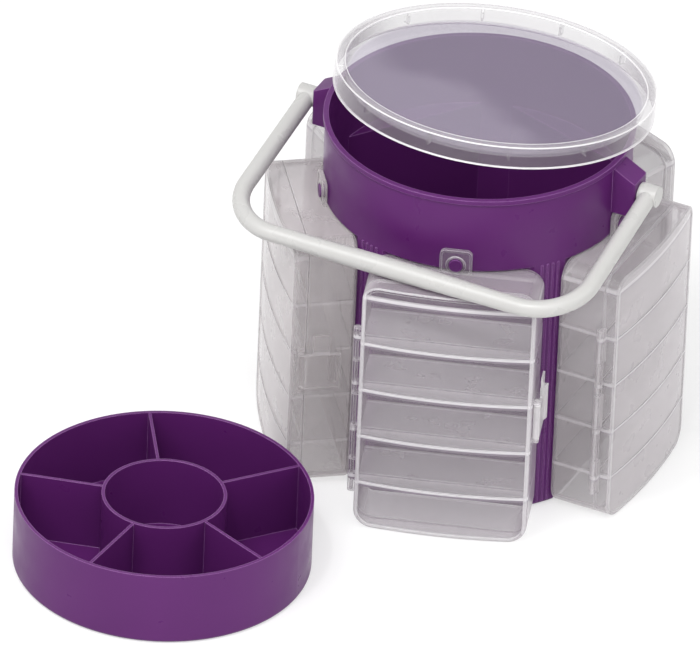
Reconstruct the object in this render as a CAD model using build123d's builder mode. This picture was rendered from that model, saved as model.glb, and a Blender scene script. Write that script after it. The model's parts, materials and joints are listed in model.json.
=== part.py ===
from build123d import *
from math import cos, radians, sin, sqrt
import os

# A bead caddy: a round tub with a swinging handle, five hinged bead boxes hung round its waist,
# a clear lid that lies loose on the rim and a divided tray that stands beside it.
# Millimetres, +Z up. The origin is on the tub's axis, on the surface that it stands on.
# +X runs along the handle's pivots and -Y is the front.

# Tub
tub_radius = 90.0
tub_wall = 2.0
tub_floor = 2.4
rim_height = 216.5
bowl_height = 48.5
waist_apothem = 78.2
rim_bead_out = 1.2
rim_bead_height = 3.0
foot_round = 2.5
waist_rib_width = 1.2
waist_rib_proud = 0.8
waist_rib_angles = (-3.4, -1.1, 1.1, 3.4)
box_count = 5

# Lugs that carry the handle
lug_reach = 104.0
lug_half_width = 8.0
lug_bottom = 183.5
lug_face_top = 206.0
lug_wall = 2.2
lug_round = 1.2
pivot_height = 197.2

# Handle
handle_radius = 5.2
grip_radius = 6.0
grip_half_length = 62.0
grip_sink = 0.1
arm_length = 113.0
arm_splay = 1.4
handle_corner_radius = 32.0
handle_end_radius = 6.2
handle_end_overlap = 1.0
pivot_pin_radius = 3.0
pivot_pin_length = 8.0

# Bead boxes, drawn on the +X side and turned into place
box_half_width = 51.0
box_bottom = 1.0
box_under_bowl = 1.0
box_corner = 11.0
box_wall = 1.4
box_edge_round = 2.5
parting_radius = 107.5
lid_edge_radius = 115.5
lid_bulge = 4.0
lid_edge_round = 2.0
lid_frame_width = 1.6
lid_frame_inset = 0.7
lid_frame_proud = 0.6
divider_first = 31.0
divider_pitch = 32.0
divider_count = 4
divider_thickness = 1.2
divider_recess = 0.8

# Hang tabs and the pegs that they hook on
tab_half_width = 9.5
tab_thickness = 2.0
tab_gap = 0.4
tab_height = 15.5
tab_corner = 3.5
tab_border_width = 1.3
tab_border_proud = 0.6
peg_radius = 4.0
peg_above_bowl = 4.6
peg_length = 3.6

# Box hinges
hinge_bottom = 20.0
hinge_top = 133.0
knuckle_count = 5
knuckle_radius = 2.3
knuckle_gap = 0.4
hinge_pin_radius = 1.0

# Box latches
latch_bottom = 71.0
latch_top = 95.0
latch_tab_top = 108.0
latch_thickness = 1.6
latch_reach = 23.0
latch_offset = 3.0
latch_barrel_radius = 2.0
latch_pin_radius = 1.2
latch_stand_off = 2.3
latch_hook_height = 1.3
latch_hook_width = 2.2
latch_hook_set = 1.8
latch_hook_inset = 3.0
latch_lip = 1.6
latch_tab_width = 10.0
latch_tab_thickness = 1.2
catch_height = 1.1
catch_length = 2.4
catch_slope_angle = 60.0
catch_gap = 1.0
ear_thickness = 2.0

# Top lid
lid_radius = 94.5
lid_height = 13.5
lid_wall = 1.3
lid_lip_width = 6.0
panel_radius = 86.0
panel_recess = 8.0
stop_rib_count = 12
stop_rib_thickness = 1.4
stop_rib_lift = 0.6
lid_draft = 0.3
lid_shift_x = 1.7
lid_shift_y = 14.4
lid_lift = 6.9
lid_tilt_angle = 8.2
lid_tilt_side_angle = 79.8

# Tray
tray_clearance = 1.0
tray_height = 46.0
tray_wall = 2.0
tray_floor = 2.0
tray_cup_radius = 36.5
tray_divider_thickness = 1.8
tray_divider_start = 50.0
tray_divider_drop = 0.8
tray_x = -94.0
tray_y = -211.5

# Clearances
seat_gap = 0.3
pin_clearance = 0.05
peg_clearance = 0.5

# Worked out from the above
bowl_bottom = rim_height - bowl_height
box_top = bowl_bottom - box_under_bowl
bore_radius = tub_radius - tub_wall
case_back = waist_apothem + seat_gap
case_front = parting_radius - seat_gap / 2
lid_back = parting_radius + seat_gap / 2
box_height = box_top - box_bottom
box_middle = (box_top + box_bottom) / 2
divider_middle = divider_first + divider_pitch * (divider_count - 1) / 2
peg_height = bowl_bottom + peg_above_bowl
box_turn = 360 / box_count
box_names = ("right", "back_right", "back_left", "left", "front")

os.makedirs("parts", exist_ok=True)


def keep(piece, name):
    """Labels a finished piece and writes it as its own file."""
    piece.label = name
    export_step(piece, f"parts/{name}.step")


# Tub: a round bowl on a five-sided waist, whose corners stay flush with the bowl as pillars
with BuildPart() as tub:
    with BuildSketch():
        Circle(tub_radius)
    extrude(amount=rim_height)
    with BuildSketch():
        Circle(tub_radius + rim_bead_out)
        RegularPolygon(
            waist_apothem,
            box_count,
            major_radius=False,
            rotation=box_turn / 2,
            mode=Mode.SUBTRACT,
        )
    extrude(amount=bowl_bottom, mode=Mode.SUBTRACT)
    fillet(tub.faces().sort_by(Axis.Z)[0].edges(), foot_round)
    with BuildSketch(Plane.XY.offset(rim_height - rim_bead_height)):
        Circle(tub_radius + rim_bead_out)
    extrude(amount=rim_bead_height)
    with BuildSketch(Plane.XY.offset(tub_floor)):
        Circle(bore_radius)
        RegularPolygon(
            waist_apothem - tub_wall,
            box_count,
            major_radius=False,
            rotation=box_turn / 2,
            mode=Mode.INTERSECT,
        )
    extrude(amount=rim_height, mode=Mode.SUBTRACT)
    with BuildSketch(Plane.XY.offset(bowl_bottom + tub_wall)):
        Circle(bore_radius)
    extrude(amount=bowl_height, mode=Mode.SUBTRACT)
    # Fine upright ribs on each pillar
    with BuildSketch(Plane.XY.offset(foot_round)):
        for rib_angle in waist_rib_angles:
            with PolarLocations(tub_radius, box_count, start_angle=box_turn / 2 + rib_angle):
                Rectangle(2 * waist_rib_proud, waist_rib_width)
    extrude(amount=bowl_bottom - foot_round)
    # Pegs for the boxes
    with PolarLocations(tub_radius - tub_wall / 2, box_count):
        with Locations((0, 0, peg_height)):
            Cylinder(
                peg_radius,
                peg_length + tub_wall / 2,
                rotation=(0, 90, 0),
                align=(Align.CENTER, Align.CENTER, Align.MIN),
            )
    # Hollow lugs that carry the handle
    for side in (1, -1):
        with BuildSketch(Plane.XZ.offset(-lug_half_width)):
            with BuildLine():
                Polyline(
                    (side * (bore_radius + tub_wall / 2), lug_bottom),
                    (side * lug_reach, lug_bottom),
                    (side * lug_reach, lug_face_top),
                    (side * tub_radius, rim_height - rim_bead_height),
                    (side * (bore_radius + tub_wall / 2), rim_height - rim_bead_height),
                    close=True,
                )
            make_face()
        extrude(amount=2 * lug_half_width)
        with BuildSketch(Plane.XZ.offset(lug_wall - lug_half_width)):
            with BuildLine():
                Polyline(
                    (side * (tub_radius + rim_bead_out), lug_bottom),
                    (side * (lug_reach - lug_wall), lug_bottom),
                    (side * (lug_reach - lug_wall), lug_face_top - lug_wall),
                    (side * (tub_radius + rim_bead_out), lug_face_top + lug_wall),
                    close=True,
                )
            make_face()
        extrude(amount=2 * (lug_half_width - lug_wall), mode=Mode.SUBTRACT)
    lug_corners = (
        tub.edges()
        .filter_by(Axis.Z)
        .filter_by(lambda edge: abs(abs(edge.center().X) - lug_reach) < seat_gap)
    )
    fillet(lug_corners, lug_round)
    with PolarLocations(lug_reach, 2):
        with Locations((0, 0, pivot_height)):
            Cylinder(
                pivot_pin_radius + pin_clearance,
                2 * (lug_wall + lug_round),
                rotation=(0, 90, 0),
                mode=Mode.SUBTRACT,
            )
keep(tub.part, "tub")

# Handle: a round bail with a thicker grip, drawn as it lies parked on the front box
grip_rise = box_top + seat_gap + grip_radius - pivot_height
handle_plane = Plane(
    origin=(0, 0, pivot_height),
    x_dir=(1, 0, 0),
    z_dir=(0, -grip_rise, -sqrt(arm_length**2 - grip_rise**2)),
)
end_start = lug_reach + seat_gap
end_length = 2 * handle_radius + handle_end_overlap
arm_foot = end_start + end_length / 2
arm_corner = arm_foot + arm_splay
grip_edge = arm_length + handle_radius - grip_sink
with BuildPart() as handle:
    with BuildLine(handle_plane) as handle_line:
        FilletPolyline(
            (-arm_foot, 0),
            (-arm_corner, arm_length),
            (arm_corner, arm_length),
            (arm_foot, 0),
            radius=handle_corner_radius,
        )
    with BuildSketch(Plane(origin=handle_line.wire() @ 0, z_dir=handle_line.wire() % 0)):
        Circle(handle_radius)
    sweep()
    with BuildSketch(handle_plane):
        with BuildLine():
            ThreePointArc(
                (-grip_half_length, grip_edge),
                (0, arm_length + grip_radius),
                (grip_half_length, grip_edge),
            )
            Polyline(
                (grip_half_length, grip_edge),
                (grip_half_length, arm_length),
                (-grip_half_length, arm_length),
                (-grip_half_length, grip_edge),
            )
        make_face()
    revolve(axis=Axis(handle_plane.from_local_coords((0, arm_length, 0)), (1, 0, 0)))
    for side in (1, -1):
        with Locations(Location((side * end_start, 0, pivot_height), (0, side * 90, 0))):
            Cylinder(
                handle_end_radius,
                end_length,
                align=(Align.CENTER, Align.CENTER, Align.MIN),
            )
            Cylinder(
                pivot_pin_radius,
                pivot_pin_length,
                align=(Align.CENTER, Align.CENTER, Align.MAX),
            )
keep(handle.part, "handle")

# Tray: a divided ring round a centre cup, standing beside the tub
tray_radius = bore_radius - tray_clearance
tray_plane = Plane((tray_x, tray_y, 0))
with BuildPart() as tray:
    with BuildSketch(tray_plane):
        Circle(tray_radius)
    extrude(amount=tray_height)
    with BuildSketch(tray_plane.offset(tray_floor)):
        Circle(tray_radius - tray_wall)
        Circle(tray_cup_radius, mode=Mode.SUBTRACT)
        Circle(tray_cup_radius - tray_wall)
    extrude(amount=tray_height, mode=Mode.SUBTRACT)
    fillet(tray.edges().filter_by(GeomType.CIRCLE).sort_by(Axis.Z)[0], foot_round)
    divider_length = tray_radius - tray_cup_radius - tray_wall
    divider_centre = (tray_radius + tray_cup_radius - tray_wall) / 2
    with BuildSketch(tray_plane.offset(tray_floor / 2)):
        with PolarLocations(divider_centre, box_count, start_angle=tray_divider_start):
            Rectangle(divider_length, tray_divider_thickness)
    extrude(amount=tray_height - tray_divider_drop - tray_floor / 2)
keep(tray.part, "tray")

# Top lid: a recessed panel inside a raised rim, lying askew with its front edge up
lid_plane = Plane(
    origin=(lid_shift_x, lid_shift_y, rim_height + lid_lift),
    z_dir=(
        sin(radians(lid_tilt_angle)) * cos(radians(lid_tilt_side_angle)),
        sin(radians(lid_tilt_angle)) * sin(radians(lid_tilt_side_angle)),
        cos(radians(lid_tilt_angle)),
    ),
)
lid_section_plane = Plane(origin=lid_plane.origin, x_dir=lid_plane.x_dir, z_dir=-lid_plane.y_dir)
panel_top = lid_height - panel_recess
lip_radius = lid_radius - lid_lip_width
channel_top = lid_height - lid_wall
stop_rib_bottom = panel_top - lid_wall + stop_rib_lift
with BuildPart() as top_lid:
    with BuildSketch(lid_section_plane) as lid_section:
        with BuildLine():
            Polyline(
                (0, panel_top),
                (panel_radius, panel_top),
                (lip_radius, lid_height),
                (lid_radius - lid_draft, lid_height),
                (lid_radius, 0),
                (lid_radius - lid_wall, 0),
                (lid_radius - lid_draft - lid_wall, channel_top),
                (lip_radius + lid_wall, channel_top),
                (panel_radius + lid_wall, panel_top - lid_wall),
                (0, panel_top - lid_wall),
                close=True,
            )
        make_face()
    revolve(axis=Axis(lid_plane.origin, lid_plane.z_dir))
    with BuildSketch(lid_plane.offset(stop_rib_bottom)):
        with PolarLocations((lip_radius + lid_wall / 2 + lid_radius - lid_wall / 2) / 2, stop_rib_count):
            Rectangle(lid_lip_width - lid_wall, stop_rib_thickness)
    extrude(amount=channel_top + lid_wall / 2 - stop_rib_bottom)
keep(top_lid.part, "top_lid")

# Shapes shared by the bead boxes, drawn on the +X side with the hinge at -Y and the latch at +Y
hinge_y = -(box_half_width + knuckle_radius + seat_gap)
knuckle_length = (hinge_top - hinge_bottom - knuckle_gap * (knuckle_count - 1)) / knuckle_count
knuckle_starts = [hinge_bottom + (knuckle_length + knuckle_gap) * i for i in range(knuckle_count)]
latch_x = parting_radius + latch_offset
latch_y = box_half_width + latch_stand_off
latch_end = latch_x - latch_reach
latch_height = latch_top - latch_bottom
catch_x = latch_end + latch_hook_set + latch_hook_width + catch_gap
divider_heights = [divider_first + divider_pitch * i for i in range(divider_count)]

# Case: an open tray with four shelves, a hang tab, two hinge knuckles and a catch
with BuildPart() as case:
    with BuildSketch(Plane.YZ.offset(case_back)):
        with Locations((0, box_middle)):
            RectangleRounded(2 * box_half_width, box_height, box_corner)
    extrude(amount=case_front - case_back)
    fillet(case.faces().sort_by(Axis.X)[0].edges(), box_edge_round)
    offset(amount=-box_wall, openings=case.faces().sort_by(Axis.X)[-1])
    with BuildSketch(Plane.YZ.offset(case_back + box_wall / 2)):
        with Locations((0, divider_middle)):
            with GridLocations(0, divider_pitch, 1, divider_count):
                Rectangle(2 * box_half_width - 3 * box_wall / 2, divider_thickness)
    extrude(amount=case_front - case_back - box_wall / 2 - divider_recess)
    with BuildSketch(Plane.YZ.offset(tub_radius + tab_gap)):
        with Locations((0, box_top - box_wall / 2)):
            RectangleRounded(
                2 * tab_half_width,
                tab_height + box_wall / 2,
                tab_corner,
                align=(Align.CENTER, Align.MIN),
            )
        with Locations((0, box_top - box_wall / 2)):
            Rectangle(2 * tab_half_width, tab_corner, align=(Align.CENTER, Align.MIN))
        with Locations((0, peg_height)):
            Circle(peg_radius + peg_clearance, mode=Mode.SUBTRACT)
    extrude(amount=tab_thickness)
    with BuildSketch(Plane.YZ.offset(tub_radius + tab_gap + tab_thickness)):
        with Locations((0, box_top)):
            RectangleRounded(
                2 * tab_half_width, tab_height, tab_corner, align=(Align.CENTER, Align.MIN)
            )
            RectangleRounded(
                2 * (tab_half_width - tab_border_width),
                tab_height - tab_border_width,
                tab_corner - tab_border_width,
                align=(Align.CENTER, Align.MIN),
                mode=Mode.SUBTRACT,
            )
        with Locations((0, peg_height)):
            Circle(peg_radius + peg_clearance + tab_border_width)
            Circle(peg_radius + peg_clearance, mode=Mode.SUBTRACT)
    extrude(amount=tab_border_proud)
    for start in knuckle_starts[1::2]:
        with BuildSketch(Plane.XY.offset(start)):
            with Locations((parting_radius, hinge_y)):
                Circle(knuckle_radius)
            with Locations((case_front, hinge_y)):
                Rectangle(
                    knuckle_radius - seat_gap / 2,
                    knuckle_radius + seat_gap + box_wall / 2,
                    align=(Align.MAX, Align.MIN),
                )
            with Locations((parting_radius, hinge_y)):
                Circle(hinge_pin_radius + pin_clearance, mode=Mode.SUBTRACT)
        extrude(amount=knuckle_length)
    with BuildSketch(Plane.XY.offset(latch_bottom + latch_hook_inset)):
        with Locations((catch_x, box_half_width)):
            Trapezoid(
                catch_length,
                catch_height + box_wall / 2,
                catch_slope_angle,
                align=(Align.MIN, Align.CENTER),
            )
    extrude(amount=latch_height - 2 * latch_hook_inset)


def cover_form(inset):
    """The cover's outer form, or its hollow when it is drawn in by the wall."""
    half_width = box_half_width - inset
    edge = lid_edge_radius - inset
    with BuildPart() as form:
        with BuildSketch(Plane.XY.offset(box_bottom + inset)) as plan:
            with BuildLine():
                Polyline(
                    (edge, -half_width),
                    (lid_back, -half_width),
                    (lid_back, half_width),
                    (edge, half_width),
                )
                ThreePointArc((edge, half_width), (edge + lid_bulge, 0), (edge, -half_width))
            make_face()
            fillet(plan.vertices().group_by(Axis.X)[-1], lid_edge_round - inset)
        extrude(amount=box_height - 2 * inset)
        with BuildSketch(Plane.YZ.offset(lid_back)):
            with Locations((0, box_middle)):
                RectangleRounded(2 * half_width, box_height - 2 * inset, box_corner - inset)
        extrude(amount=edge + lid_bulge - lid_back, mode=Mode.INTERSECT)
    return form.part


# What stands proud of the lid's face: a frame near its border and a bar at each shelf
frame_half_width = box_half_width - lid_frame_inset
with BuildPart() as lid_relief:
    with BuildSketch(Plane.XY.offset(box_bottom)):
        with BuildLine():
            Polyline(
                (lid_edge_radius + lid_frame_proud, -box_half_width),
                (lid_edge_radius - box_wall / 2, -box_half_width),
                (lid_edge_radius - box_wall / 2, box_half_width),
                (lid_edge_radius + lid_frame_proud, box_half_width),
            )
            ThreePointArc(
                (lid_edge_radius + lid_frame_proud, box_half_width),
                (lid_edge_radius + lid_bulge + lid_frame_proud, 0),
                (lid_edge_radius + lid_frame_proud, -box_half_width),
            )
        make_face()
    extrude(amount=box_height)
    with BuildSketch(Plane.YZ.offset(lid_back)):
        with Locations((0, box_middle)):
            RectangleRounded(
                2 * frame_half_width,
                box_height - 2 * lid_frame_inset,
                box_corner - lid_frame_inset,
            )
            RectangleRounded(
                2 * (frame_half_width - lid_frame_width),
                box_height - 2 * (lid_frame_inset + lid_frame_width),
                box_corner - lid_frame_inset - lid_frame_width,
                mode=Mode.SUBTRACT,
            )
        with Locations((0, divider_middle)):
            with GridLocations(0, divider_pitch, 1, divider_count):
                Rectangle(2 * frame_half_width - lid_frame_width, divider_thickness)
    extrude(amount=lid_edge_radius + 2 * lid_bulge - lid_back, mode=Mode.INTERSECT)

# Lid: a shallow cover with a bulging face and a rib inside opposite each shelf
cover_hollow = cover_form(box_wall)
with BuildPart() as cover:
    add(cover_form(0))
    add(lid_relief.part)
    add(cover_hollow, mode=Mode.SUBTRACT)
    for height in divider_heights:
        with BuildSketch(Plane.XY.offset(height - divider_thickness / 2)):
            with BuildLine():
                Polyline(
                    (lid_edge_radius - box_wall / 2, -(box_half_width - box_edge_round)),
                    (lid_back + divider_recess + box_edge_round, -(box_half_width - box_wall / 2)),
                    (lid_back + divider_recess, -(box_half_width - box_edge_round)),
                    (lid_back + divider_recess, box_half_width - box_edge_round),
                    (lid_back + divider_recess + box_edge_round, box_half_width - box_wall / 2),
                    (lid_edge_radius - box_wall / 2, box_half_width - box_edge_round),
                )
                ThreePointArc(
                    (lid_edge_radius - box_wall / 2, box_half_width - box_edge_round),
                    (lid_edge_radius + lid_bulge - box_wall / 2, 0),
                    (lid_edge_radius - box_wall / 2, -(box_half_width - box_edge_round)),
                )
            make_face()
        extrude(amount=divider_thickness)
    for start in knuckle_starts[0::2]:
        with BuildSketch(Plane.XY.offset(start)):
            with Locations((parting_radius, hinge_y)):
                Circle(knuckle_radius)
            with Locations((lid_back, hinge_y)):
                Rectangle(
                    knuckle_radius - seat_gap / 2,
                    knuckle_radius + seat_gap + box_wall / 2,
                    align=(Align.MIN, Align.MIN),
                )
            with Locations((parting_radius, hinge_y)):
                Circle(hinge_pin_radius + pin_clearance, mode=Mode.SUBTRACT)
        extrude(amount=knuckle_length)
    for ear_start in (latch_bottom - seat_gap - ear_thickness, latch_top + seat_gap):
        with BuildSketch(Plane.XY.offset(ear_start)):
            with Locations((latch_x, latch_y)):
                Circle(latch_barrel_radius)
                Rectangle(
                    2 * latch_barrel_radius,
                    latch_stand_off + box_wall / 2,
                    align=(Align.CENTER, Align.MAX),
                )
                Circle(latch_pin_radius + pin_clearance, mode=Mode.SUBTRACT)
        extrude(amount=ear_thickness)

# Hinge pin: one rod through all the knuckles
with BuildPart() as hinge_pin:
    with BuildSketch(Plane.XY.offset(hinge_bottom)):
        with Locations((parting_radius, hinge_y)):
            Circle(hinge_pin_radius)
    extrude(amount=hinge_top - hinge_bottom)

# Latch: a barrel with pins at its ends, a plate that hooks over the catch and a thin finger tab
plate_outer = latch_y + latch_barrel_radius
plate_inner = plate_outer - latch_thickness
with BuildPart() as latch:
    with BuildSketch(Plane.XY.offset(latch_bottom - seat_gap - ear_thickness)):
        with Locations((latch_x, latch_y)):
            Circle(latch_pin_radius)
    extrude(amount=latch_height + 2 * (seat_gap + ear_thickness))
    with BuildSketch(Plane.XY.offset(latch_bottom)):
        with Locations((latch_x, latch_y)):
            Circle(latch_barrel_radius)
        with BuildLine():
            Polyline(
                (latch_x, plate_inner),
                (latch_x, plate_outer),
                (latch_end + 2 * latch_lip, plate_outer),
                (latch_end, plate_outer + latch_lip),
                (latch_end, plate_inner),
                (latch_x, plate_inner),
            )
        make_face()
    extrude(amount=latch_height)
    with BuildSketch(Plane.XY.offset(latch_bottom + latch_hook_inset)):
        with Locations((latch_end + latch_hook_set, plate_inner + latch_thickness / 2)):
            Rectangle(
                latch_hook_width,
                latch_hook_height + latch_thickness / 2,
                align=(Align.MIN, Align.MAX),
            )
    extrude(amount=latch_height - 2 * latch_hook_inset)
    with BuildSketch(Plane.XZ.offset(-plate_outer)):
        with Locations(((latch_end + latch_x) / 2, latch_top - latch_thickness)):
            RectangleRounded(
                latch_tab_width,
                latch_tab_top - latch_top + latch_thickness,
                latch_thickness,
                align=(Align.CENTER, Align.MIN),
            )
    extrude(amount=latch_tab_thickness)

for index, box_name in enumerate(box_names):
    for suffix, piece in (("case", case), ("lid", cover), ("hinge_pin", hinge_pin), ("latch", latch)):
        with BuildPart() as placed:
            add(piece.part, rotation=(0, 0, box_turn * index))
        keep(placed.part, f"{box_name}_box_{suffix}")
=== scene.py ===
import json
import math

import bpy
from mathutils import Matrix, Vector

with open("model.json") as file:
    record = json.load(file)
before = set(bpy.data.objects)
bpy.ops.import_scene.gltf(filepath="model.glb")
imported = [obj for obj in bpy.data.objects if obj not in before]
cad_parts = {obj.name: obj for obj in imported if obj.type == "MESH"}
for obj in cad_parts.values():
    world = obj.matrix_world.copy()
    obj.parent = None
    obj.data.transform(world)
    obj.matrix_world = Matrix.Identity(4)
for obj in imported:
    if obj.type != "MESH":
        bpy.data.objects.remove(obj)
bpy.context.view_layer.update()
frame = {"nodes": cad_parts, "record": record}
record = frame["record"]

# Sizes in metres, angles in degrees
MM = 0.001

# Camera: a long lens, as the photograph has almost no perspective
PHOTO_WIDTH = 700
PIXELS_PER_METRE = 1703.0
CAMERA_AZIMUTH = 24.6
CAMERA_ELEVATION = 33.2
CAMERA_ROLL = 2.5
AXIS_PIXEL_RIGHT = 115.3
AXIS_PIXEL_DOWN = 99.5
CAMERA_DISTANCE = 12.0
SENSOR_WIDTH = 36.0
CLIP_START = 0.5
CLIP_END = 80.0

# Floor and world: white to the camera, plain soft light for the object
FLOOR_HALF = 6.0
FLOOR_DROP = 0.2 * MM
FLOOR_ROUGHNESS = 0.9
FLOOR_GLOW = 0.45
WORLD_LIGHT = 0.70
LAMP_AIM = 0.1

# Lamps: name, azimuth, elevation, distance, size and watts
LAMPS = (
    ("key", -25.0, 52.0, 2.2, 1.2, 20.0),
    ("front", 30.0, 50.0, 2.4, 1.6, 21.0),
    ("fill", 95.0, 35.0, 2.2, 1.4, 8.0),
    ("glint", -8.0, 60.0, 2.0, 0.12, 5.0),
)

# Colours, linear
WHITE_LIGHT = (1.0, 1.0, 1.0, 1.0)
PURPLE = (0.090, 0.0135, 0.115, 1.0)
# The next colour is a painted highlight along the purple plastic's edges
PURPLE_EDGE_HIGHLIGHT = (0.34, 0.15, 0.39, 1.0)
WHITE = (0.46, 0.455, 0.445, 1.0)
# The next three are lit and shaded copies of one box plastic: each box's colour paints the light and
# shade it gets from its side
FROSTED_FRONT = (0.415, 0.37, 0.41, 1.0)
FROSTED_SIDE = (0.47, 0.435, 0.455, 1.0)
FROSTED_LEFT = (0.50, 0.46, 0.47, 1.0)
# The next colour is paler at the boxes' edges and lines: partly denser plastic, partly a painted
# highlight
FROSTED_DENSE_AND_HIGHLIGHT = (0.77, 0.75, 0.77, 1.0)
# The next colour is a painted shadow under each shelf line
FROSTED_SHADE = (0.20, 0.165, 0.215, 1.0)
MILKY = (0.72, 0.70, 0.71, 1.0)
LID_RIM = (0.43, 0.405, 0.43, 1.0)
LID_PANEL = (0.225, 0.185, 0.27, 1.0)
# The next colour is painted light on the front of the lid's panel
LID_PANEL_PAINTED_LIGHT = (0.325, 0.28, 0.375, 1.0)
# The next colour is a painted highlight on the lid's rim lines and edges
LID_EDGE_HIGHLIGHT = (0.90, 0.88, 0.90, 1.0)
FLOOR = (0.94, 0.94, 0.94, 1.0)

# Moulded plastic: noise scales per metre, and what the noise does
CLOUD_SCALE = 14.0
CLOUD_DETAIL = 3.0
CLOUD_LOW = 0.35
CLOUD_HIGH = 0.65
WAVE_SCALE = 22.0
WAVE_DETAIL = 1.0
WAVE_HEIGHT = 4.0 * MM
GRAIN_SCALE = 1400.0
GRAIN_DETAIL = 3.0
GRAIN_HEIGHT = 0.2 * MM
POLISH_SCALE = 60.0
POLISH_DETAIL = 4.0
POLISH_SMOOTHER = 0.8
POLISH_ROUGHER = 1.25
NOISE_LOW = 0.3
NOISE_HIGH = 0.7
EDGE_START = 0.995
EDGE_FULL = 0.80
EDGE_SAMPLES = 4

# Finishes: edge radius, roughness, grain, wave, gloss and mottle
PURPLE_FINISH = (0.8 * MM, 0.34, 0.02, 0.05, 0.22, 0.05)
WHITE_FINISH = (0.6 * MM, 0.30, 0.02, 0.05, 0.5, 0.01)
FROSTED_FINISH = (1.0 * MM, 0.30, 0.008, 0.02, 0.5, 0.03)
LID_FINISH = (0.9 * MM, 0.16, 0.008, 0.03, 0.5, 0.05)
COAT = 0.4
COAT_ROUGHNESS = 0.07

# Opacity of one surface of a clear wall, and how it grows where the wall is seen edge-on
FRONT_ALPHA = 0.15
SIDE_ALPHA = 0.17
LEFT_ALPHA = 0.24
LATCH_ALPHA = 0.45
LINE_ALPHA = 0.80
SLANT_ALPHA = 0.88
SHELF_SHARE = 0.25
LEVEL_START = 0.9
LEVEL_FULL = 0.95
RIM_ALPHA = 0.11
PANEL_ALPHA = 0.32
RIB_ALPHA = 0.02
RIM_LINE_ALPHA = 0.85
RIM_EDGE_SHARE = 0.3
RIM_SLANT_ALPHA = 0.5
SLANT_START = 0.3
SLANT_FULL = 0.8
SHADOW_SHARE = 0.2

# How clearly the lines of a bead box show
LINE_SHELF = 0.85
LINE_PARTING = 0.6
LINE_FRAME = 0.7
CRISP_FRONT = 1.0
CRISP_CASE = 0.75
CRISP_SIDE = 0.62
CRISP_LEFT = 0.35
# Strength of the painted shadow under each shelf line on a lid
LID_SHADE = 0.7

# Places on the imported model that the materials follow
BOX_TURN = math.radians(72.0)
SHELF_FIRST = 31.0 * MM
SHELF_PITCH = 32.0 * MM
SHELF_HALF = 1.0 * MM
SHELF_SHADE = 2.4 * MM
PARTING = 107.5 * MM
PARTING_HALF = 0.7 * MM
FRAME_INNER = 48.5 * MM
FRAME_OUTER = 52.0 * MM
FRAME_FACE = 115.0 * MM
LINE_BLUR = 0.2 * MM
LID_ORIGIN = (1.7 * MM, 14.4 * MM, 223.4 * MM)
LID_TILT = 8.2
LID_TILT_SIDE = 79.8
LID_TOP = 13.5 * MM
LID_INNER_EDGE = 88.5 * MM
LID_OUTER_EDGE = 94.0 * MM
PANEL_RADIUS = 86.3 * MM
RIB_INNER = 89.9 * MM
RIB_OUTER = 92.8 * MM
RIM_LINE_HALF = 0.45 * MM
# Where the painted light on the lid's panel falls, with noise that moves its border
PANEL_LIT_START = 10.0 * MM
PANEL_LIT_FULL = 34.0 * MM
PANEL_LIT_DRIFT = 22.0 * MM
PANEL_LIT_SCALE = 16.0
PANEL_LIT_DETAIL = 2.0
PANEL_LIT_DIRECTION = (-0.35, -0.94, 0.0)


def camera_axes():
    """The camera's right, up and backward directions."""
    azimuth = math.radians(CAMERA_AZIMUTH)
    elevation = math.radians(CAMERA_ELEVATION)
    roll = math.radians(CAMERA_ROLL)
    right = Vector((math.cos(azimuth), math.sin(azimuth), 0.0))
    up = Vector(
        (
            -math.sin(azimuth) * math.sin(elevation),
            math.cos(azimuth) * math.sin(elevation),
            math.cos(elevation),
        )
    )
    rolled_right = right * math.cos(roll) + up * math.sin(roll)
    rolled_up = up * math.cos(roll) - right * math.sin(roll)
    return rolled_right, rolled_up, rolled_right.cross(rolled_up)


def add_camera():
    right, up, back = camera_axes()
    aim = (up * AXIS_PIXEL_DOWN - right * AXIS_PIXEL_RIGHT) / PIXELS_PER_METRE
    data = bpy.data.cameras.new("camera")
    data.sensor_fit = "HORIZONTAL"
    data.sensor_width = SENSOR_WIDTH
    data.lens = SENSOR_WIDTH * CAMERA_DISTANCE * PIXELS_PER_METRE / PHOTO_WIDTH
    data.clip_start = CLIP_START
    data.clip_end = CLIP_END
    camera = bpy.data.objects.new("camera", data)
    turn = Matrix((right, up, back)).transposed().to_4x4()
    camera.matrix_world = Matrix.Translation(aim + back * CAMERA_DISTANCE) @ turn
    bpy.context.scene.collection.objects.link(camera)
    bpy.context.scene.camera = camera


def add_light(name, azimuth, elevation, distance, size, power):
    """A soft square lamp that looks at the object. Azimuth 0 is the front, positive to its right."""
    data = bpy.data.lights.new(name, "AREA")
    data.shape = "SQUARE"
    data.size = size
    data.energy = power
    lamp = bpy.data.objects.new(name, data)
    side = math.radians(azimuth)
    rise = math.radians(elevation)
    back = Vector(
        (math.sin(side) * math.cos(rise), -math.cos(side) * math.cos(rise), math.sin(rise))
    )
    lamp.location = back * distance + Vector((0.0, 0.0, LAMP_AIM))
    lamp.rotation_mode = "QUATERNION"
    lamp.rotation_quaternion = (-back).to_track_quat("-Z", "Y")
    lamp.visible_camera = False
    bpy.context.scene.collection.objects.link(lamp)


def background_rays(tree):
    """1 for the rays that see the background: straight from the camera, by gloss or through glass."""
    path = tree.nodes.new("ShaderNodeLightPath")
    seen = path.outputs["Is Camera Ray"]
    for kind in ("Is Glossy Ray", "Is Transmission Ray"):
        both = tree.nodes.new("ShaderNodeMath")
        both.operation = "MAXIMUM"
        tree.links.new(seen, both.inputs[0])
        tree.links.new(path.outputs[kind], both.inputs[1])
        seen = both.outputs["Value"]
    return seen


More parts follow.
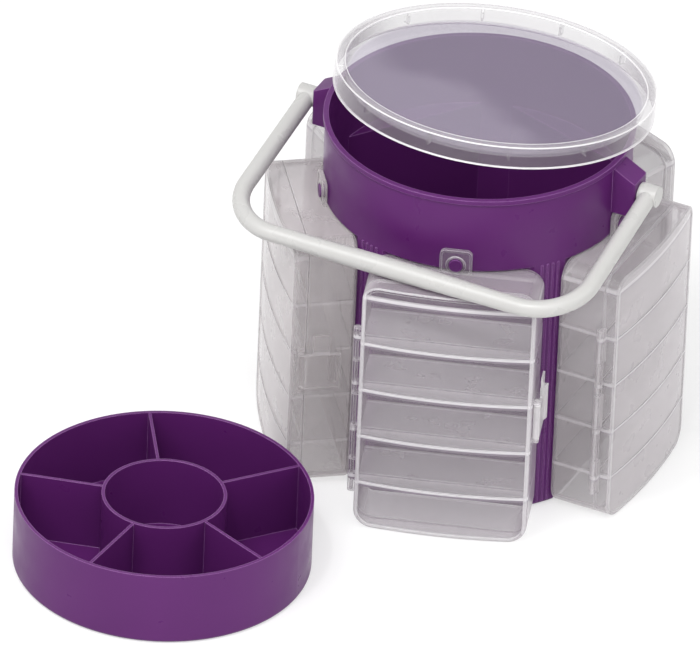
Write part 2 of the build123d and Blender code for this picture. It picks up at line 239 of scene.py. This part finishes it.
class Shader:
    """A node tree with a principled shader, and short calls that add nodes to it."""

    def __init__(self, name):
        self.material = bpy.data.materials.new(name)
        self.material.use_nodes = True
        self.tree = self.material.node_tree
        self.tree.nodes.clear()
        self.output = self.node("ShaderNodeOutputMaterial")
        self.surface = self.node("ShaderNodeBsdfPrincipled")
        self.link(self.surface.outputs["BSDF"], self.output.inputs["Surface"])

    def node(self, kind, **settings):
        made = self.tree.nodes.new(kind)
        for key, value in settings.items():
            setattr(made, key, value)
        return made

    def link(self, source, target):
        self.tree.links.new(source, target)

    def set(self, **values):
        for key, value in values.items():
            self.surface.inputs[key.replace("_", " ")].default_value = value

    def place(self):
        return self.node("ShaderNodeTexCoord").outputs["Object"]

    def split(self, vector):
        made = self.node("ShaderNodeSeparateXYZ")
        self.link(vector, made.inputs["Vector"])
        return made.outputs["X"], made.outputs["Y"], made.outputs["Z"]

    def noise(self, scale, detail):
        made = self.node("ShaderNodeTexNoise")
        made.inputs["Scale"].default_value = scale
        made.inputs["Detail"].default_value = detail
        self.link(self.place(), made.inputs["Vector"])
        return made.outputs["Fac"]

    def ramp(self, source, low, high, to_low, to_high):
        made = self.node("ShaderNodeMapRange")
        made.inputs["From Min"].default_value = low
        made.inputs["From Max"].default_value = high
        made.inputs["To Min"].default_value = to_low
        made.inputs["To Max"].default_value = to_high
        self.link(source, made.inputs["Value"])
        return made.outputs["Result"]

    def mix(self, factor, first, second):
        """first where factor is 0 and second where it is 1; each is a colour or an output."""
        made = self.node("ShaderNodeMix", data_type="RGBA")
        self.link(factor, made.inputs["Factor"])
        colours = [socket for socket in made.inputs if socket.type == "RGBA"]
        for socket, value in zip(colours, (first, second)):
            if isinstance(value, tuple):
                socket.default_value = value
            else:
                self.link(value, socket)
        return next(socket for socket in made.outputs if socket.type == "RGBA")

    def math(self, operation, *values):
        made = self.node("ShaderNodeMath", operation=operation)
        for socket, value in zip(made.inputs, values):
            if isinstance(value, float):
                socket.default_value = value
            else:
                self.link(value, socket)
        return made.outputs["Value"]

    def dot(self, vector, direction):
        made = self.node("ShaderNodeVectorMath", operation="DOT_PRODUCT")
        made.inputs[1].default_value = direction
        self.link(vector, made.inputs[0])
        return made.outputs["Value"]

    def band(self, height, low, high):
        """1 where height lies between low and high, with soft ends."""
        rise = self.ramp(height, low - LINE_BLUR, low, 0.0, 1.0)
        fall = self.ramp(height, high, high + LINE_BLUR, 1.0, 0.0)
        return self.math("MULTIPLY", rise, fall)

    def around(self, value, centre, half):
        return self.band(value, centre - half, centre + half)

    def most(self, first, *others):
        for other in others:
            first = self.math("MAXIMUM", first, other)
        return first

    def above_shelf(self):
        """Height above the nearest shelf of a bead box, in metres."""
        height = self.split(self.place())[2]
        raised = self.math("SUBTRACT", height, SHELF_FIRST - SHELF_PITCH / 2)
        within = self.math("MODULO", raised, SHELF_PITCH)
        return self.math("SUBTRACT", within, SHELF_PITCH / 2)

    def in_box(self):
        """Places along a bead box's outward direction and across it, the same for all five boxes."""
        x, y, _ = self.split(self.place())
        angle = self.math("ADD", self.math("ARCTAN2", y, x), BOX_TURN / 2)
        turned = self.math("FLOORED_MODULO", angle, BOX_TURN)
        turned = self.math("SUBTRACT", turned, BOX_TURN / 2)
        square = self.math("ADD", self.math("MULTIPLY", x, x), self.math("MULTIPLY", y, y))
        radius = self.math("SQRT", square)
        out = self.math("MULTIPLY", radius, self.math("COSINE", turned))
        across = self.math("MULTIPLY", radius, self.math("SINE", turned))
        return out, self.math("ABSOLUTE", across)

    def alpha(self, value, grazing):
        """Opacity, value from the front and grazing where the wall is seen edge-on, as more plastic
        lies in the way there; light passing through is scattered on, so shadows get much less."""
        weight = self.node("ShaderNodeLayerWeight")
        slant = self.ramp(weight.outputs["Facing"], SLANT_START, SLANT_FULL, 0.0, 1.0)
        blend = self.node("ShaderNodeMix", data_type="FLOAT")
        self.link(slant, blend.inputs["Factor"])
        self.link(value, blend.inputs["A"])
        blend.inputs["B"].default_value = grazing
        path = self.node("ShaderNodeLightPath")
        share = self.ramp(path.outputs["Is Shadow Ray"], 0.0, 1.0, 1.0, SHADOW_SHARE)
        opacity = self.math("MULTIPLY", blend.outputs["Result"], share)
        self.link(opacity, self.surface.inputs["Alpha"])

    def edge(self, radius):
        """How near a surface point is to a sharp edge, 0 to 1, and the softened normal there."""
        soft = self.node("ShaderNodeBevel", samples=EDGE_SAMPLES)
        soft.inputs["Radius"].default_value = radius
        geometry = self.node("ShaderNodeNewGeometry")
        dot = self.node("ShaderNodeVectorMath", operation="DOT_PRODUCT")
        self.link(soft.outputs["Normal"], dot.inputs[0])
        self.link(geometry.outputs["Normal"], dot.inputs[1])
        near = self.ramp(dot.outputs["Value"], EDGE_START, EDGE_FULL, 0.0, 1.0)
        return near, soft.outputs["Normal"]

    def bump(self, height, strength, distance, normal):
        made = self.node("ShaderNodeBump")
        made.inputs["Strength"].default_value = strength
        made.inputs["Distance"].default_value = distance
        self.link(height, made.inputs["Height"])
        self.link(normal, made.inputs["Normal"])
        return made.outputs["Normal"]


def plastic(name, colour, edge_highlight_colour, edge_radius, roughness, grain, wave, gloss, mottle):
    """Injection-moulded plastic: a fine grain, a slow waviness from cooling and rounded edges, with a
    painted highlight of the edge colour mixed in near each edge.
    Returns the shader, how near a point is to an edge, and the body colour's output."""
    shader = Shader(name)
    edge, soft_normal = shader.edge(edge_radius)
    patches = shader.noise(CLOUD_SCALE, CLOUD_DETAIL)
    cloud = shader.ramp(patches, CLOUD_LOW, CLOUD_HIGH, 0.0, 1.0)
    dark = tuple(channel * (1.0 - mottle) for channel in colour[:3]) + (1.0,)
    light = tuple(channel * (1.0 + mottle) for channel in colour[:3]) + (1.0,)
    body = shader.mix(cloud, dark, light)
    waves = shader.noise(WAVE_SCALE, WAVE_DETAIL)
    waved = shader.bump(waves, wave, WAVE_HEIGHT, soft_normal)
    grained = shader.bump(shader.noise(GRAIN_SCALE, GRAIN_DETAIL), grain, GRAIN_HEIGHT, waved)
    shader.link(grained, shader.surface.inputs["Normal"])
    spread = shader.ramp(
        shader.noise(POLISH_SCALE, POLISH_DETAIL),
        NOISE_LOW,
        NOISE_HIGH,
        roughness * POLISH_SMOOTHER,
        roughness * POLISH_ROUGHER,
    )
    shader.link(spread, shader.surface.inputs["Roughness"])
    shader.set(Specular_IOR_Level=gloss)
    # Painted highlight: the edge colour mixed into the body near each edge
    shader.link(shader.mix(edge, body, edge_highlight_colour), shader.surface.inputs["Base Color"])
    return shader, edge, body


def frosted_plastic(name, colour, alpha, shade, crisp):
    """Translucent box plastic, denser at its edges, its parting line, the lid's frame and
    where a shelf meets a wall, and paler there by a colour that is partly that denser plastic and
    partly a painted highlight, all by crisp, with a painted shadow under each shelf by shade; the
    shelf's faces are clear."""
    shader, edge, body = plastic(name, colour, FROSTED_DENSE_AND_HIGHLIGHT, *FROSTED_FINISH)
    height = shader.above_shelf()
    out, across = shader.in_box()
    line = shader.band(height, -SHELF_HALF, SHELF_HALF)
    parting = shader.around(out, PARTING, PARTING_HALF)
    face = shader.ramp(out, FRAME_FACE - LINE_BLUR, FRAME_FACE, 0.0, 1.0)
    border = shader.math("MULTIPLY", face, shader.band(across, FRAME_INNER, FRAME_OUTER))
    # Painted shadow: a dark band just under each shelf line
    painted_shadow = shader.band(height, -SHELF_SHADE, -SHELF_HALF)
    painted_shadow = shader.math("MULTIPLY", painted_shadow, shade * crisp)
    bright = shader.most(
        edge,
        shader.math("MULTIPLY", line, LINE_SHELF),
        shader.math("MULTIPLY", parting, LINE_PARTING),
        shader.math("MULTIPLY", border, LINE_FRAME),
    )
    bright = shader.math("MULTIPLY", bright, crisp)
    # Paler colour at edges and lines, partly denser plastic and partly a painted highlight, over the
    # painted shadow under each shelf
    tone = shader.mix(bright, shader.mix(painted_shadow, body, FROSTED_SHADE), FROSTED_DENSE_AND_HIGHLIGHT)
    shader.link(tone, shader.surface.inputs["Base Color"])
    shader.set(Coat_Weight=COAT, Coat_Roughness=COAT_ROUGHNESS)
    geometry = shader.node("ShaderNodeNewGeometry")
    upright = shader.split(geometry.outputs["Normal"])[2]
    level = shader.math("MULTIPLY", shader.math("ABSOLUTE", upright), line)
    wall = shader.ramp(shader.math("MAXIMUM", bright, painted_shadow), 0.0, 1.0, alpha, LINE_ALPHA)
    shelf = shader.ramp(level, LEVEL_START, LEVEL_FULL, 1.0, SHELF_SHARE)
    shader.alpha(shader.math("MULTIPLY", wall, shelf), SLANT_ALPHA)
    return shader.material


def lid_plastic(name):
    """Clear plastic, tinted on the panel, with painted light that makes the panel paler towards the
    front, painted highlights as bright lines along the rim's edges, and stop ribs that hardly show."""
    shader, edge, body = plastic(name, LID_RIM, LID_EDGE_HIGHLIGHT, *LID_FINISH)
    tilt = math.radians(LID_TILT)
    side = math.radians(LID_TILT_SIDE)
    axis = (math.sin(tilt) * math.cos(side), math.sin(tilt) * math.sin(side), math.cos(tilt))
    from_origin = shader.node("ShaderNodeVectorMath", operation="SUBTRACT")
    from_origin.inputs[1].default_value = LID_ORIGIN
    shader.link(shader.place(), from_origin.inputs[0])
    place = from_origin.outputs["Vector"]
    height = shader.dot(place, axis)
    square = shader.node("ShaderNodeVectorMath", operation="DOT_PRODUCT")
    shader.link(place, square.inputs[0])
    shader.link(place, square.inputs[1])
    flat = shader.math("SUBTRACT", square.outputs["Value"], shader.math("MULTIPLY", height, height))
    radius = shader.math("SQRT", flat)
    rim = shader.ramp(radius, PANEL_RADIUS - LINE_BLUR, PANEL_RADIUS, 0.0, 1.0)
    # Painted light: the panel paler towards the front, its border moved by noise
    patches = shader.noise(PANEL_LIT_SCALE, PANEL_LIT_DETAIL)
    drift = shader.ramp(patches, NOISE_LOW, NOISE_HIGH, -PANEL_LIT_DRIFT, PANEL_LIT_DRIFT)
    forward = shader.math("ADD", shader.dot(place, PANEL_LIT_DIRECTION), drift)
    lit = shader.ramp(forward, PANEL_LIT_START, PANEL_LIT_FULL, 0.0, 1.0)
    panel = shader.mix(lit, LID_PANEL, LID_PANEL_PAINTED_LIGHT)
    # Painted highlights: bright lines along the rim's top edges, its foot and its sharp edges
    top = shader.ramp(height, LID_TOP - 2 * RIM_LINE_HALF, LID_TOP - RIM_LINE_HALF, 0.0, 1.0)
    inner = shader.math("MULTIPLY", top, shader.around(radius, LID_INNER_EDGE, RIM_LINE_HALF))
    outer = shader.math("MULTIPLY", top, shader.around(radius, LID_OUTER_EDGE, RIM_LINE_HALF))
    foot = shader.ramp(height, RIM_LINE_HALF, 2 * RIM_LINE_HALF, 1.0, 0.0)
    lines = shader.most(inner, outer, foot, shader.math("MULTIPLY", edge, RIM_EDGE_SHARE))
    rib = shader.band(radius, RIB_INNER, RIB_OUTER)
    rib = shader.math("MULTIPLY", rib, shader.math("SUBTRACT", 1.0, top))
    lines = shader.math("MULTIPLY", lines, shader.math("SUBTRACT", 1.0, rib))
    colour = shader.mix(lines, shader.mix(rim, panel, body), LID_EDGE_HIGHLIGHT)
    shader.link(colour, shader.surface.inputs["Base Color"])
    shader.set(Coat_Weight=COAT, Coat_Roughness=COAT_ROUGHNESS)
    pale = shader.ramp(rim, 0.0, 1.0, PANEL_ALPHA, RIM_ALPHA)
    dense = shader.most(pale, shader.math("MULTIPLY", lines, RIM_LINE_ALPHA))
    clear = shader.ramp(rib, 0.0, 1.0, 1.0, RIB_ALPHA)
    shader.alpha(shader.math("MULTIPLY", dense, clear), RIM_SLANT_ALPHA)
    return shader.material


def add_floor():
    corners = [(-1, -1, 0), (1, -1, 0), (1, 1, 0), (-1, 1, 0)]
    mesh = bpy.data.meshes.new("floor")
    mesh.from_pydata([Vector(corner) * FLOOR_HALF for corner in corners], [], [(0, 1, 2, 3)])
    floor = bpy.data.objects.new("floor", mesh)
    floor.location.z = -FLOOR_DROP
    bpy.context.scene.collection.objects.link(floor)
    shader = Shader("floor")
    shader.set(Base_Color=FLOOR, Roughness=FLOOR_ROUGHNESS)
    white = shader.node("ShaderNodeEmission")
    share = shader.math("MULTIPLY", background_rays(shader.tree), FLOOR_GLOW)
    mix = shader.node("ShaderNodeMixShader")
    shader.link(share, mix.inputs[0])
    shader.link(shader.surface.outputs["BSDF"], mix.inputs[1])
    shader.link(white.outputs["Emission"], mix.inputs[2])
    shader.link(mix.outputs["Shader"], shader.output.inputs["Surface"])
    mesh.materials.append(shader.material)


def add_world():
    world = bpy.data.worlds.new("world")
    bpy.context.scene.world = world
    world.use_nodes = True
    tree = world.node_tree
    background = tree.nodes["Background"]
    seen = tree.nodes.new("ShaderNodeMapRange")
    seen.inputs["To Min"].default_value = WORLD_LIGHT
    seen.inputs["To Max"].default_value = 1.0
    tree.links.new(background_rays(tree), seen.inputs["Value"])
    tree.links.new(seen.outputs["Result"], background.inputs["Strength"])
    background.inputs["Color"].default_value = WHITE_LIGHT


add_camera()
add_world()
add_floor()
for lamp in LAMPS:
    add_light(*lamp)

looks = {
    "purple_plastic": plastic("purple_plastic", PURPLE, PURPLE_EDGE_HIGHLIGHT, *PURPLE_FINISH)[0].material,
    "white_plastic": plastic("white_plastic", WHITE, WHITE, *WHITE_FINISH)[0].material,
    "clear_plastic": lid_plastic("clear_plastic"),
}
# Lit and shaded copies of one box plastic: colour, opacity and line clearness per box paint the light
# and shade each box shows
lit_and_shaded_copies = {
    "front": (FROSTED_FRONT, FRONT_ALPHA, CRISP_FRONT),
    "left": (FROSTED_LEFT, LEFT_ALPHA, CRISP_LEFT),
    "side": (FROSTED_SIDE, SIDE_ALPHA, CRISP_SIDE),
}
latch_lit_and_shaded_copies = {
    "front": (MILKY, LATCH_ALPHA),
    "left": (FROSTED_LEFT, LEFT_ALPHA),
    "side": (FROSTED_SIDE, LATCH_ALPHA),
}
for box, (colour, alpha, crisp) in lit_and_shaded_copies.items():
    latch_colour, latch_alpha = latch_lit_and_shaded_copies[box]
    looks[box + "_box_lid"] = frosted_plastic("frosted_lid_" + box, colour, alpha, LID_SHADE, crisp)
    looks[box + "_box_case"] = frosted_plastic(
        "frosted_case_" + box, colour, alpha, 0.0, crisp * CRISP_CASE
    )
    looks[box + "_box_latch"] = frosted_plastic(
        "milky_latch_" + box, latch_colour, latch_alpha, 0.0, crisp
    )
    looks[box + "_box_hinge_pin"] = looks[box + "_box_case"]
slots = {part["node"]: part["material_slot"] for part in record["subparts"]}
for name, node in frame["nodes"].items():
    look = slots[name]
    if "_box_" in name:
        piece = name[name.index("_box_"):]
        look = name if name in looks else "side" + piece
    node.data.materials.clear()
    node.data.materials.append(looks[look])

bpy.context.scene.view_settings.view_transform = "Standard"
